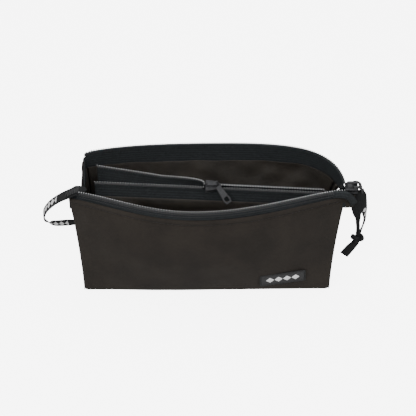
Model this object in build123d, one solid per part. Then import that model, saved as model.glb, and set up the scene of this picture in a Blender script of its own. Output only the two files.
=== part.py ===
from build123d import *
import math
import os

os.makedirs("parts", exist_ok=True)

# A zipped fabric pencil case that stands open. Millimetres, +Z up, -Y is the front.
# The origin is the middle of the base, on the surface that the case stands on.
# Each long wall is drawn closed, then turned outwards about its own base edge, so a
# hinge on that edge closes the mouth again.

# Driving dimensions of the bag
HALF_BASE = 110.0        # half the base's width
HALF_TOP = 118.5         # half the width at the top of the side seams
HALF_DEPTH = 30.0        # half the base's depth
LIP_Z = 94.0             # height of the closed zip's teeth above the base
LIP_GAP = 1.6            # closed, each row stands this far from the middle plane
FABRIC_TOP = 0.905       # the outer fabric's top hem, as a share of LIP_Z
TAPE_LOW = 0.83          # the zip tape's lower edge
TAPE_TOP = 0.972         # the zip tape's edge at the teeth
WALL_LOW = 0.018         # the walls start just above the base panel
FRONT_OPEN = 18.5        # degrees that the front wall leans out, at its middle
BACK_OPEN = 44.0         # degrees that the back wall leans out
FRONT_MIDDLE = -10.0     # x where the front wall leans out most
FRONT_LEFT = 108.0       # from there to the left end of the lean
FRONT_RIGHT = 125.0      # and to the right end
BACK_TURN = 16.0         # x where the back lip starts to come round to the slider
BACK_DROP = 0.37         # share of the lean that it has lost at its left end
BACK_PULL = 7.5          # how far the leaning wall draws its top left corner in
GUSSET_BOW = 15.0        # how far the left end panel's top then folds in
GUSSET_HELD = 0.45       # below this height share the base holds the end panels back
MOUTH_END = 118.5        # x where the two lips meet, at the slider's mouth
TAPE_END = 117.5         # x of the tapes' right end
TAPE_START = -117.0      # x of the tapes' left end

# Cloth thicknesses, as offsets outwards from each wall's middle surface
OUTER = (0.85, 1.65)
TAPE = (-0.3, 0.3)
LINING = (-1.4, -0.9)
TEETH = (-0.9, 0.9)

# Small hardware
SLIDER_LENGTH = 11.0
SLIDER_WIDTH = 10.0
CHAIN_HALF = 1.4         # half the thickness of the space for the teeth
PLATE = 1.5              # the slider's plates
SLIDER_X = MOUTH_END + SLIDER_LENGTH / 2
INNER_SLIDER_X = 4.5


def save(part, node):
    """Writes one sub-part under its node's name."""
    part.label = node
    export_step(part, f"parts/{node}.step")


# ---------------------------------------------------------------- the bag's surfaces


def half_width(v):
    """Half the bag's width at height share v: the side seams flare outwards."""
    return HALF_BASE + (HALF_TOP - HALF_BASE) * min(1.0, v / FABRIC_TOP) ** 1.25


def closed_depth(u, v):
    """How far a closed wall stands from the middle plane, at width share u."""
    seam = HALF_DEPTH * (1 - v) + LIP_GAP * v
    middle = HALF_DEPTH * (1 - v**2.4) ** 0.9 + LIP_GAP * v
    return seam + (middle - seam) * (1 - min(1.0, abs(u)) ** 4)


def lean(side, x):
    """Degrees that a wall leans out at x: side -1 is the front and 1 the back."""
    if side < 0:
        reach, power = (FRONT_LEFT, 1.45) if x < FRONT_MIDDLE else (FRONT_RIGHT, 1.3)
        share = min(1.0, abs(x - FRONT_MIDDLE) / reach)
        return FRONT_OPEN * (1 - share**2) ** power
    if x < BACK_TURN:
        return BACK_OPEN * (1 - BACK_DROP * ((BACK_TURN - x) / (HALF_TOP + BACK_TURN)) ** 2)
    share = min(1.0, (x - BACK_TURN) / (MOUTH_END - BACK_TURN))
    return BACK_OPEN * math.sqrt(1 - share**2)


def turned(side, depth, z, degrees):
    """A point of a closed wall turned outwards about the wall's base edge."""
    a = math.radians(degrees)
    d = depth - HALF_DEPTH
    out = d * math.cos(a) + z * math.sin(a)
    up = z * math.cos(a) - d * math.sin(a)
    return side * (HALF_DEPTH + out), up


def drawn_in(x, v):
    """How far the back wall's left end is drawn in at x and height share v."""
    share = min(1.0, max(0.0, (BACK_TURN - x) / (HALF_TOP + BACK_TURN)))
    return BACK_PULL * share**3 * v**1.2


def wall(side, x, v):
    """A point of a long wall as the case stands, open."""
    y, z = turned(side, closed_depth(x / half_width(v), v), LIP_Z * v, lean(side, x))
    return Vector(x + drawn_in(x, v) * (side > 0), y, z)


def gusset_turn(end, s, v):
    """Degrees that an end panel has turned with the back wall: none along the base."""
    rise = min(1.0, v / GUSSET_HELD)
    held = (1 - rise * rise * (3 - 2 * rise)) * (1 - s**10)
    return lean(1, end * half_width(v)) * s * (1 - held)


def gusset(end, s, v):
    """A point of an end panel: s runs from its front edge, 0, to its back edge, 1."""
    x = end * half_width(v)
    depth = closed_depth(1.0, v) * (2 * s - 1)
    y, z = turned(1, depth, LIP_Z * v, gusset_turn(end, s, v))
    if end < 0:
        fold = 1 - math.exp(-s / 0.06)
        x += (GUSSET_BOW * fold - (GUSSET_BOW - BACK_PULL) * s) * v**2.5
    return Vector(x, y, z)


def moved_off(surface, a, b, offset, outwards):
    """The surface's point at (a, b), moved along its normal, on the outwards side."""
    step = 1e-3
    here = surface(a, b)
    across = surface(a + step, b) - surface(a - step, b)
    along = surface(a, b + step) - surface(a, b - step)
    normal = across.cross(along).normalized()
    if normal.dot(outwards) < 0:
        normal = -normal
    return here + normal * offset


def triangles(a, b, c, d):
    """The two triangles of a four-cornered patch."""
    return [Face(Wire.make_polygon([a, b, c])), Face(Wire.make_polygon([a, c, d]))]


def skin(surface, a_values, b_values, span, outwards):
    """A cloth solid between two offsets of a surface, as facets over a grid."""
    low, high = [
        [[moved_off(surface, a, b, offset, outwards) for b in b_values] for a in a_values]
        for offset in span
    ]
    rows, columns = len(a_values) - 1, len(b_values) - 1
    faces = []
    for i in range(rows):
        for j in range(columns):
            for g in (low, high):
                faces += triangles(g[i][j], g[i + 1][j], g[i + 1][j + 1], g[i][j + 1])
    for i in range(rows):
        for j in (0, columns):
            faces += triangles(low[i][j], low[i + 1][j], high[i + 1][j], high[i][j])
    for j in range(columns):
        for i in (0, rows):
            faces += triangles(low[i][j], low[i][j + 1], high[i][j + 1], high[i][j])
    return Solid(Shell(faces))


def spread(low, high, count):
    """Evenly spaced values from low to high."""
    return [low + (high - low) * i / count for i in range(count + 1)]


def gathered(low, high, count):
    """Values from low to high, closer together towards both ends."""
    middle, half = (low + high) / 2, (high - low) / 2
    return [middle - half * math.cos(math.pi * i / count) for i in range(count + 1)]


def lip_stations(side, start, end):
    """Values of x along a lip, closer together where the back lip comes round."""
    if side < 0:
        return gathered(start, end, 18)
    radius = MOUTH_END - BACK_TURN
    last = math.asin((end - BACK_TURN) / radius)
    turn = [BACK_TURN + radius * math.sin(last * i / 8) for i in range(1, 9)]
    return spread(start, BACK_TURN, 8) + turn


# --------------------------------------------------------------------- fabric panels


def long_wall(side, name):
    """The outer panel and the lining of one long wall."""
    outwards = Vector(0, side, 0.2)

    def panel(s, v):
        margin = 1.6 + 0.8 * (side > 0)
        return wall(side, s * (half_width(v) - margin), v)

    shares = gathered(-1.0, 1.0, 18)
    if side > 0:
        shares = [x / half_width(1.0) for x in lip_stations(1, -half_width(1.0), 116.5)]
    heights = [WALL_LOW, 0.12, 0.26, 0.42, 0.58, 0.72, 0.82, FABRIC_TOP]
    save(skin(panel, shares, heights, OUTER, outwards), f"{name}_panel")

    def lined(s, v):
        return wall(side, s * (half_width(v) - 4.0), v)

    save(skin(lined, shares, heights[:-1], LINING, outwards), f"{name}_lining")


def end_panels():
    """The two end gussets and their linings."""
    for end, name, top in ((-1, "left", FABRIC_TOP), (1, "right", TAPE_LOW - 0.02)):
        heights = [0.03, 0.2, 0.4, 0.6, 0.76, top]

        def outside(s, v):
            return gusset(end, s, v)

        middle = spread(0.04, 0.96, 6)
        outwards = Vector(end, 0, 0)
        save(skin(outside, middle, heights, (0.0, 0.8), outwards), f"{name}_gusset")
        inside = spread(0.09, 0.91, 6)
        cut = [0.05] + heights[1:-1] + [top - 0.02]
        save(skin(outside, inside, cut, (-0.8, -0.4), outwards), f"{name}_gusset_lining")


def base():
    """The base panel, the lining over it and the stiffening board between them."""
    width, depth = 2 * HALF_BASE, 2 * HALF_DEPTH
    panel = extrude(RectangleRounded(width, depth, 4), 1.0)
    save(panel, "base_panel")
    board = extrude(RectangleRounded(width - 6, depth - 6, 3), 0.5)
    save(Pos(0, 0, 1.0) * board, "base_board")
    lining = extrude(RectangleRounded(width - 8, depth - 8, 3), 0.4)
    save(Pos(0, 0, 1.5) * lining, "base_lining")


# --------------------------------------------------------------------- the main zip


def main_zip():
    """The two tapes, the two rows of coil teeth and the top stops of the main zip."""
    for side, name in ((-1, "front"), (1, "back")):
        outwards = Vector(0, side, 0.2)

        def band(x, v):
            return wall(side, x, v)

        stations = lip_stations(side, TAPE_START, TAPE_END)
        low = [TAPE_LOW, 0.87, 0.91, TAPE_TOP]
        save(skin(band, stations, low, TAPE, outwards), f"{name}_zip_tape")
        teeth = [TAPE_TOP + 0.003, 1.0]
        save(skin(band, stations, teeth, TEETH, outwards), f"{name}_zip_teeth")
        stop = wall(side, TAPE_START - 1.6, 1.0)
        save(Pos(stop) * Box(2.0, 2.2, 2.8), f"{name}_top_stop")


def end_tab():
    """The fabric tab folded round the tapes' right end, under the slider."""
    left, right, front, back = HALF_TOP + 1.8, 127.2, -5.2, -1.4
    fold = (back - front) / 2
    path = Line((left, front), (right - fold, front))
    path += RadiusArc((right - fold, front), (right - fold, back), -fold)
    path += Line((right - fold, back), (left + 3, back))
    outline = trace(path, 0.9)
    save(Pos(0, 0, 77.0) * extrude(outline, 12.0), "zip_end_tab")


def slider():
    """A coil zip slider, chain along X, wedge end at -X, its origin in the chain."""
    half, wide = SLIDER_LENGTH / 2, SLIDER_WIDTH / 2
    outline = Polyline(
        (-half, -wide), (-half + 1.5, -wide), (half - 1.5, -wide * 0.8),
        (half, -wide * 0.7), (half, wide * 0.7), (half - 1.5, wide * 0.8),
        (-half + 1.5, wide), (-half, wide), close=True,
    )
    plate = extrude(make_face(outline), PLATE)
    top = Pos(0, 0, CHAIN_HALF) * plate
    bottom = Pos(0, 0, -CHAIN_HALF - PLATE) * plate
    top = chamfer(top.edges().group_by(Axis.Z)[-1], 0.4)
    bottom = chamfer(bottom.edges().group_by(Axis.Z)[0], 0.4)
    wedge = Polyline((-half + 0.5, 0), (-half + 2, -1.2), (-half + 4, 0), (-half + 2, 1.2), close=True)
    post = extrude(make_face(wedge), 2 * CHAIN_HALF)
    body = top + bottom + Pos(0, 0, -CHAIN_HALF) * post
    for side in (-1, 1):
        rail = Box(SLIDER_LENGTH - 4, 0.7, 0.7)
        y = side * (wide * 0.8 - 0.4)
        body += Pos(0.5, y, CHAIN_HALF - 0.3) * rail
        body += Pos(0.5, y, -CHAIN_HALF + 0.3) * rail
    return body


def bridge():
    """The crown that stands on a slider and holds its puller."""
    foot, top, rise = CROWN_FOOT, 1.2, 3.8
    base_z = CHAIN_HALF + PLATE
    arch = Polyline((-foot, 0), (-foot, rise), (foot, rise), (foot, 0))
    arch = fillet(arch.vertices().group_by(Axis.Y)[-1], 1.6)
    strip = trace(arch, top)
    strip = extrude(Plane.XZ * strip, 1.2, both=True)
    keep = Pos(0, 0, rise) * Box(4 * foot, 6, 2 * rise)
    return Pos(0, 0, base_z) * (strip & keep)


CROWN_FOOT = 4.3         # the bridge's legs stand this far from the slider's middle
PIN_X = 1.8              # the ring puller's cross pin, from the slider's middle
PIN_Z = CHAIN_HALF + PLATE + 1.3
BAR_REACH = 2.3          # the bar puller's cross pin, from the leg that it hangs on


def ring_puller():
    """The main zip's arched ring puller, its cross pin at the local origin."""
    wide, thick = 8.8, 1.5
    curve = Line((0, 0), (2.6, 0.3)) + ThreePointArc((2.6, 0.3), (6.0, -1.8), (7.4, -6.2))
    shape = extrude(Plane.XZ * trace(curve, thick), wide / 2, both=True)
    crown_gap = Pos(2.0, 0, 0) * Box(4.6, 4.6, 8)
    ribbon_gap = Pos(6.4, 0, -3.4) * Rot(0, 62, 0) * Box(3.4, 5.0, 6)
    shape = shape - crown_gap - ribbon_gap
    return shape + Rot(90, 0, 0) * Cylinder(0.75, wide)


def bar_puller():
    """The inner zip's tapered bar puller: length along X from its cross pin."""
    length, thick = 22.0, 1.6
    outline = Polyline((0, -2.4), (5, -2.4), (length - 3, -3.5), (length, -2.6),
                       (length, 2.6), (length - 3, 3.5), (5, 2.4), (0, 2.4), close=True)
    blade = extrude(make_face(outline), thick / 2, both=True)
    blade = chamfer(blade.edges().filter_by(Axis.Z, reverse=True), 0.3)
    eye = Pos(BAR_REACH, 0, 0) * Box(3.1, 3.0, 4)
    window = Pos(length - 4.0, 0, 0) * extrude(RectangleRounded(4.6, 4.2, 1.0), 2, both=True)
    return blade - eye - window + Rot(90, 0, 0) * Cylinder(0.75, 4.8)


def main_slider():
    """The main slider, its bridge and its ring puller, parked at the right end."""
    at = Pos(SLIDER_X, 0, LIP_Z)
    save(at * slider(), "main_slider")
    save(at * bridge(), "main_slider_bridge")
    save(at * Pos(PIN_X, 0, PIN_Z) * ring_puller(), "main_puller")


# ------------------------------------------------------------------ the ribbon pull


def cord_tube(points, diameter):
    """A round tube along straight runs that are joined by the largest arcs they allow."""
    radii = []
    for a, b, c in zip(points, points[1:], points[2:]):
        one, two = Vector(b) - Vector(a), Vector(c) - Vector(b)
        half_turn = math.radians(one.get_angle(two)) / 2
        radii.append(0.45 * min(one.length, two.length) / math.tan(half_turn))
    print("cord radii", [round(r, 1) for r in radii])
    path = FilletPolyline(*points, radius=radii)
    start = Plane(origin=path @ 0, z_dir=path % 0)
    tube = sweep(start * Circle(diameter / 2), path)
    print("cord volume share", round(tube.volume / (path.length * math.pi * diameter**2 / 4), 4))
    return tube


RIBBON = 2.4             # thickness of the plain tubes that hold the ribbon's place
FRONT_STRAND = [(131.4, -1.5, 91.4), (130.4, -2.6, 81.0), (131.0, -3.4, 68.0),
                (134.0, -3.0, 54.0), (135.5, -1.7, 40.0)]
BACK_STRAND = [(132.5, 1.5, 91.4), (134.2, 2.8, 80.0), (139.6, 3.6, 67.0),
               (141.6, 3.2, 54.0), (137.9, 1.7, 40.0)]
FRONT_TAIL = [(134.7, -1.6, 31.2), (130.0, -2.4, 25.0), (125.4, -3.2, 17.4)]
BACK_TAIL = [(136.3, 1.6, 31.2), (133.4, 2.2, 24.0), (129.6, 2.6, 15.2)]


def ribbon_pull():
    """The ribbon through the puller's ring: two strands, their knot and two tails."""
    save(cord_tube(FRONT_STRAND, RIBBON), "pull_strand_front")
    save(cord_tube(BACK_STRAND, RIBBON), "pull_strand_back")
    save(cord_tube(FRONT_TAIL, RIBBON), "pull_tail_front")
    save(cord_tube(BACK_TAIL, RIBBON), "pull_tail_back")
    outline = Ellipse(5.6, 4.0)
    knot = extrude(outline, 4.2, both=True)
    knot = fillet(knot.edges(), 1.6)
    save(Pos(136.0, 0, 35.6) * Rot(90, 0, 0) * knot, "pull_knot")


# -------------------------------------------------------------------- the side loop


def side_loop():
    """The hanging loop of printed ribbon, sewn into the left side seam."""
    width, thick = 10.0, 1.0
    spline = Spline(
        (-119.9, 88.0), (-129.0, 85.0), (-137.5, 75.5), (-143.4, 63.0), (-143.4, 53.5),
        (-131.0, 48.6), (-116.0, 51.6), tangents=((-1, -0.15), (1, 0.25)),
    )
    band = extrude(Plane.XZ * trace(spline, thick), width / 2, both=True)
    save(Pos(0, 2.0, 0) * band, "side_loop")


# -------------------------------------------------------------- the inner zip pocket

POCKET_LOW = 8.0         # height of the pocket's bottom seam
POCKET_Z = 83.2          # height of its teeth
POCKET_Y = 14.7          # how far back its teeth stand, at the middle
POCKET_SKEW = 0.08       # and how much further forward for each millimetre to the right
POCKET_WALL = 0.84       # the pocket's cloth ends here, as a share of its height
POCKET_TAPE = 0.955      # and its tapes end here, at the teeth
POCKET_LEFT = -99.0
POCKET_RIGHT = 103.0
OPEN_GAP = 8.3           # how far its back lip stands off to the left of the slider
OPEN_SPREAD = 16.0       # and how much faster it spreads towards the left end
OPEN_RISE = 1.0


def chain_line(x):
    """The pocket's front teeth: depth and height at x."""
    return POCKET_Y - POCKET_SKEW * x, POCKET_Z


def open_share(x):
    """0 at the pocket's left end and 1 where its slider has closed it."""
    share = (x - POCKET_LEFT) / (INNER_SLIDER_X - 7.0 - POCKET_LEFT)
    return min(1.0, max(0.0, share))


def opened(x):
    """How far open the pocket is at x, from 0 beyond the slider to 1 at the left."""
    return (1 - open_share(x) ** 3.5) ** (1 / 3.5)


def pocket_front(x, t):
    """A point of the pocket's front wall at height share t."""
    y, z = chain_line(x)
    return Vector(x, 2.0 + (y - 2.0) * t, POCKET_LOW + (z - POCKET_LOW) * t)


def pocket_back(x, t):
    """A point of the pocket's back wall, which bellies out and opens to the left."""
    y, z = chain_line(x)
    share = opened(x)
    spread_out = OPEN_SPREAD * max(0.0, 0.615 - open_share(x))
    top_y, top_z = y + 3.4 + OPEN_GAP * share + spread_out, z + OPEN_RISE * share
    belly = 46.0 * (1 - 0.7 * share) * t**3 * max(0.0, 1 - t) ** 0.7
    depth = 5.0 + (top_y - 5.0) * t + belly
    return Vector(x, depth, POCKET_LOW + (top_z - POCKET_LOW) * t)


def pocket():
    """The zipped divider pocket: walls, tapes, teeth, stops and bottom binding."""
    room_low = 78.0
    slider_room = Pos(INNER_SLIDER_X, 14, room_low + 13) * Box(SLIDER_LENGTH + 1, 34, 26)
    for name, surface, side in (("front", pocket_front, -1), ("back", pocket_back, 1)):
        outwards = Vector(0, side, 0.1)
        stations = spread(POCKET_LEFT, POCKET_RIGHT, 16)
        heights = [0.0, 0.2, 0.4, 0.6, 0.74, POCKET_WALL]
        cloth = skin(surface, stations, heights, (0.0, 0.6), outwards)
        save(cloth, f"pocket_{name}_wall")
        heights = [POCKET_WALL + 0.005, 0.88, 0.92, POCKET_TAPE]
        tape = skin(surface, stations, heights, (0.0, 0.6), outwards)
        save(tape - slider_room, f"pocket_{name}_tape")
        row = [POCKET_TAPE + 0.004, 0.984]
        inner_row = skin(surface, stations, row, (-0.5, 1.1), outwards) - slider_room
        save(Compound(children=list(inner_row.solids())), f"pocket_{name}_teeth")
    binding = Pos(0, 3.6, POCKET_LOW - 1.6) * Box(2 * POCKET_RIGHT, 4.2, 2.4)
    save(binding, "pocket_bottom_binding")
    y, z = chain_line(POCKET_RIGHT)
    save(Pos(POCKET_RIGHT + 1.2, y + 2.0, z - 1.5) * Box(1.8, 5.6, 3.0), "pocket_zip_stop")


def inner_slider():
    """The pocket's slider with its bridge and its bar puller, hung on the right leg."""
    y, z = chain_line(INNER_SLIDER_X)
    middle = (INNER_SLIDER_X, y + 1.4, z + 0.6)
    seat = Plane(origin=middle, x_dir=(1, 0, 0), z_dir=(0, -0.55, 0.835))
    save(seat * slider(), "inner_slider")
    save(seat * bridge(), "inner_slider_bridge")
    hang, drop = -56.0, 6.5
    above_plate = CHAIN_HALF + PLATE + 1.7
    leg = Pos(CROWN_FOOT, 0, above_plate) * Rot(0, 0, hang) * Rot(0, drop, 0)
    save(seat * leg * Pos(-BAR_REACH, 0, 0) * bar_puller(), "inner_puller")
    pivot = seat * Pos(CROWN_FOOT, 0, above_plate)
    print("inner puller pivot", [round(c, 3) for c in pivot.position])
    print("its axis", [round(c, 4) for c in seat.z_dir])


# ------------------------------------------------------------------------ the patch


def patch():
    """The moulded rubber patch low on the front panel: a plate with a raised rim."""
    width, height, rim = 41.0, 14.0, 1.3
    x, v = 67.0, 0.205
    at = wall(-1, x, v)
    outwards = Vector(0, -1, 0)
    normal = (moved_off(lambda a, b: wall(-1, a, b), x, v, 1.0, outwards) - at).normalized()
    plate = extrude(RectangleRounded(width, height, 1.2), 0.9)
    well = extrude(RectangleRounded(width - 2 * rim, height - 2 * rim, 0.6), 0.5)
    plate -= Pos(0, 0, 0.6) * well
    seat = Plane(origin=at + normal * 2.0, x_dir=(1, 0, 0.06), z_dir=normal)
    save(seat * plate, "front_patch")


long_wall(-1, "front")
long_wall(1, "back")
end_panels()
base()
main_zip()
end_tab()
main_slider()
ribbon_pull()
side_loop()
pocket()
inner_slider()
patch()
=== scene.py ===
import math

import bpy
import numpy as np
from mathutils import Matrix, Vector
from mathutils.kdtree import KDTree


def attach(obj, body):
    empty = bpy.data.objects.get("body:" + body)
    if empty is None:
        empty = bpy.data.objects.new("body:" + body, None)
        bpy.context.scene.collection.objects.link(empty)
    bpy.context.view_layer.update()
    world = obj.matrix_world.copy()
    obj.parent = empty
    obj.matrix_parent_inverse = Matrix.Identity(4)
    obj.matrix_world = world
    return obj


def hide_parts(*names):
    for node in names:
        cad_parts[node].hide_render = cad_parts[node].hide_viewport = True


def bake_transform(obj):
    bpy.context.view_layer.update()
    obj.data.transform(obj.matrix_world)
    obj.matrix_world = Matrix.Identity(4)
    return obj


# A zipped fabric pencil case that stands open. Lengths are millimetres, apart from those of
# the camera, the lights and the finished meshes, which are metres.

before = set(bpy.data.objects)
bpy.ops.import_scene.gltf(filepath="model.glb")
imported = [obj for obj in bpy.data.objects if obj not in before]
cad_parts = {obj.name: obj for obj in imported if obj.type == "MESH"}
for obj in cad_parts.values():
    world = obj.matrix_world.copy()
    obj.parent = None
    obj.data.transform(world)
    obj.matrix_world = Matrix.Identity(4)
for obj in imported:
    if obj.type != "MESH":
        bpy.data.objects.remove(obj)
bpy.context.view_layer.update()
MM = 0.001

# ------------------------------------------------------------------ the bag's measures
# These, and the formulas down to the pocket's back wall, are the same as the CAD model's.

HALF_BASE, HALF_TOP, HALF_DEPTH = 110.0, 118.5, 30.0
LIP_Z, LIP_GAP = 94.0, 1.6
FABRIC_TOP, HEM_TOP, TAPE_LOW, TAPE_TOP = 0.905, 0.932, 0.83, 0.985
STITCH_LINE = HEM_TOP - 0.037
FLARE = 1.7
FRONT_OPEN, FRONT_MIDDLE, FRONT_LEFT, FRONT_RIGHT = 18.5, -10.0, 108.0, 125.0
BACK_OPEN, BACK_TURN, BACK_DROP = 44.0, 16.0, 0.37
BACK_PULL, GUSSET_BOW, GUSSET_HELD = 7.5, 15.0, 0.45
MOUTH_END, TAPE_END, TAPE_START = 118.5, 117.5, -117.0
POCKET_LOW, POCKET_Z, POCKET_Y, POCKET_SKEW = 8.0, 83.2, 14.7, 0.08
POCKET_FRONT_FOOT, POCKET_BACK_FOOT, POCKET_SWING = 2.0, 5.0, 10.0
POCKET_WALL, POCKET_TAPE, POCKET_LEFT, POCKET_RIGHT = 0.84, 0.975, -99.0, 103.0
OPEN_GAP, OPEN_SPREAD, OPEN_RISE = 8.3, 16.0, 1.0
INNER_SLIDER_X = 4.5
TOOTH_PITCH, COIL_START = 2.3, -110.5
SIDES = ((-1, "front"), (1, "back"))


def clip(value, low=0.0, high=1.0):
    return np.minimum(high, np.maximum(low, value))


def ease(value):
    """A smooth step from 0 to 1."""
    t = clip(value)
    return t * t * (3 - 2 * t)


def half_width(v):
    return HALF_BASE + (HALF_TOP - HALF_BASE) * clip(v / FABRIC_TOP) ** FLARE


def closed_depth(u, v):
    v = clip(v)
    seam = HALF_DEPTH * (1 - v) + LIP_GAP * v
    middle = HALF_DEPTH * (1 - v**2.4) ** 0.9 + LIP_GAP * v
    return seam + (middle - seam) * (1 - clip(np.abs(u)) ** 4)


def lean(side, x):
    """Degrees that a long wall leans out at x."""
    x = np.asarray(x, float)
    if side < 0:
        left = x < FRONT_MIDDLE
        reach = np.where(left, FRONT_LEFT, FRONT_RIGHT)
        power = np.where(left, 1.45, 1.3)
        share = clip(np.abs(x - FRONT_MIDDLE) / reach)
        return FRONT_OPEN * (1 - share**2) ** power
    drop = BACK_DROP * ((BACK_TURN - x) / (HALF_TOP + BACK_TURN)) ** 2
    share = clip((x - BACK_TURN) / (MOUTH_END - BACK_TURN))
    return np.where(x < BACK_TURN, BACK_OPEN * (1 - drop), BACK_OPEN * np.sqrt(1 - share**2))


def turned(side, depth, z, degrees):
    a = np.radians(degrees)
    d = depth - HALF_DEPTH
    out = d * np.cos(a) + z * np.sin(a)
    up = z * np.cos(a) - d * np.sin(a)
    return side * (HALF_DEPTH + out), up


def drawn_in(x, v):
    """How far the back wall's left end is drawn in at x and height share v."""
    return BACK_PULL * clip((BACK_TURN - x) / (HALF_TOP + BACK_TURN)) ** 3 * clip(v, 0, 2) ** 1.2


def wall(side):
    """The surface of one long wall, over x and the height share v."""
    def point(x, v):
        y, z = turned(side, closed_depth(x / half_width(v), v), LIP_Z * v, lean(side, x))
        return np.stack([x + drawn_in(x, v) * (side > 0), y, z], -1)
    return point


def gusset_turn(end, s, v):
    """Degrees that an end panel has turned with the back wall: none along the base."""
    held = (1 - ease(v / GUSSET_HELD)) * (1 - s**10)
    return lean(1, end * half_width(v)) * s * (1 - held)


def gusset(end):
    """The surface of an end panel, over s from front to back and the height share v."""
    def point(s, v):
        x = end * half_width(v)
        depth = closed_depth(1.0, v) * (2 * s - 1)
        y, z = turned(1, depth, LIP_Z * v, gusset_turn(end, s, v))
        if end < 0:
            fold = 1 - np.exp(-s / 0.06)
            x = x + GUSSET_BOW * (fold - s) * v**2.5 + BACK_PULL * s * v**1.2
        return np.stack([x, y, z], -1)
    return point


def chain_line(x):
    return POCKET_Y - POCKET_SKEW * x, POCKET_Z + 0 * x


def open_share(x):
    """0 at the pocket's left end and 1 where its slider has closed it."""
    return clip((x - POCKET_LEFT) / (INNER_SLIDER_X - 7.0 - POCKET_LEFT))


def opened(x):
    return (1 - open_share(x) ** 3.5) ** (1 / 3.5)


def back_lip_gap(x):
    """How far the pocket's back lip stands behind its front lip."""
    return 3.4 + OPEN_GAP * opened(x) + OPEN_SPREAD * clip(0.615 - open_share(x))


def pocket_front(x, t):
    y, z = chain_line(x)
    fold = -2.4 * np.sin(math.pi * clip((t - 0.62) / 0.36)) ** 2
    depth = POCKET_FRONT_FOOT + (y - POCKET_FRONT_FOOT) * t + fold
    return np.stack([x, depth, POCKET_LOW + (z - POCKET_LOW) * t], -1)


def pocket_back(x, t):
    y, z = chain_line(x)
    share = opened(x)
    top_y, top_z = y + back_lip_gap(x), z + OPEN_RISE * share
    belly = 46 * (1 - 0.7 * share) * clip(t) ** 3 * clip(1 - t) ** 0.7
    depth = POCKET_BACK_FOOT + (top_y - POCKET_BACK_FOOT) * t + belly
    return np.stack([x, depth, POCKET_LOW + (top_z - POCKET_LOW) * t], -1)


# ----------------------------------------------------------------------- mesh building


def bumps(x, y, seed, scale, octaves=3):
    """Smooth seeded folds, between about -1 and 1, over two coordinates in millimetres."""
    draw = np.random.default_rng(seed)
    total = 0 * x
    for octave in range(octaves):
        size = scale / 1.9**octave
        for _ in range(3):
            angle = draw.uniform(0, math.pi)
            phase = draw.uniform(0, 2 * math.pi)
            bend = draw.uniform(0.4, 1.2)
            along = (x * math.cos(angle) + y * math.sin(angle)) / size
            other = (y * math.cos(angle) - x * math.sin(angle)) / size
            swell = np.sin(2 * math.pi * along + bend * np.sin(2 * other) + phase)
            total = total + swell / 1.7**octave
    return total / 5


def unit(vectors):
    return vectors / np.maximum(np.linalg.norm(vectors, axis=-1, keepdims=True), 1e-12)


def surface(point, a, b, facing, offset=0.0, relief=None):
    """Points and normals, in mm, of a surface over two lists of parameters."""
    aa, bb = np.meshgrid(np.asarray(a, float), np.asarray(b, float), indexing="ij")
    step = 1e-3
    across = point(aa + step, bb) - point(aa - step, bb)
    along = point(aa, bb + step) - point(aa, bb - step)
    normal = unit(np.cross(across, along))
    if (normal @ np.asarray(facing, float)).mean() < 0:
        normal = -normal
    shift = offset + (relief(aa, bb) if relief else 0 * aa)
    return point(aa, bb) + normal * shift[..., None], normal


def grid_faces(rows, columns, wrap=False):
    """Quads over a grid of points, closed round its columns where wrap is set."""
    last = columns if wrap else columns - 1
    i, j = np.meshgrid(np.arange(rows - 1), np.arange(last), indexing="ij")
    k = (j + 1) % columns
    here, there = i * columns, (i + 1) * columns
    return np.stack([here + j, there + j, there + k, here + k], -1).reshape(-1, 4).tolist()


def new_mesh(name, points, faces, uv=None, material=None):
    """A smooth mesh object from points in mm, with one uv pair for each point."""
    mesh = bpy.data.meshes.new(name)
    mesh.from_pydata((np.asarray(points).reshape(-1, 3) * MM).tolist(), [], faces)
    if uv is not None:
        layer = mesh.uv_layers.new(name="cloth")
        index = np.zeros(len(mesh.loops), np.int32)
        mesh.loops.foreach_get("vertex_index", index)
        layer.data.foreach_set("uv", np.asarray(uv, float).reshape(-1, 2)[index].ravel())
    mesh.polygons.foreach_set("use_smooth", [True] * len(mesh.polygons))
    mesh.update()
    piece = bpy.data.objects.new(name, mesh)
    bpy.context.scene.collection.objects.link(piece)
    if material:
        mesh.materials.append(material)
    return piece


def arc_uv(points):
    """Distances in mm along both directions of a grid of points."""
    u, v = np.zeros(points.shape[:2]), np.zeros(points.shape[:2])
    u[1:] = np.cumsum(np.linalg.norm(np.diff(points, axis=0), axis=-1), axis=0)
    v[:, 1:] = np.cumsum(np.linalg.norm(np.diff(points, axis=1), axis=-1), axis=1)
    return np.stack([u - u[len(u) // 2], v], -1)


def thicken(piece, thickness):
    solid = piece.modifiers.new("thickness", "SOLIDIFY")
    solid.thickness = thickness * MM
    solid.offset = 0.0
    return piece


def cloth(name, points, thickness, material):
    """A sheet of cloth over a grid of points."""
    faces = grid_faces(*points.shape[:2])
    return thicken(new_mesh(name, points, faces, arc_uv(points), material), thickness)


def tube_parts(path, radius, sides=6, flat=1.0, reference=(0.0, 0.0, 1.0)):
    """Points and faces of a closed tube along a path, its section flattened by flat."""
    path = np.asarray(path, float)
    tangent = unit(np.gradient(path, axis=0))
    side = unit(np.cross(tangent, np.broadcast_to(np.asarray(reference, float), path.shape)))
    up = np.cross(side, tangent)
    angle = 2 * math.pi * np.arange(sides) / sides
    radius = np.broadcast_to(np.asarray(radius, float), (len(path),))[:, None, None]
    wide, tall = np.cos(angle)[None, :, None], (flat * np.sin(angle))[None, :, None]
    ring = side[:, None] * wide + up[:, None] * tall
    points = (path[:, None] + ring * radius).reshape(-1, 3)
    faces = grid_faces(len(path), sides, wrap=True)
    faces.append(list(range(sides)))
    faces.append([len(points) - 1 - k for k in range(sides)])
    return points, faces


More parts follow.
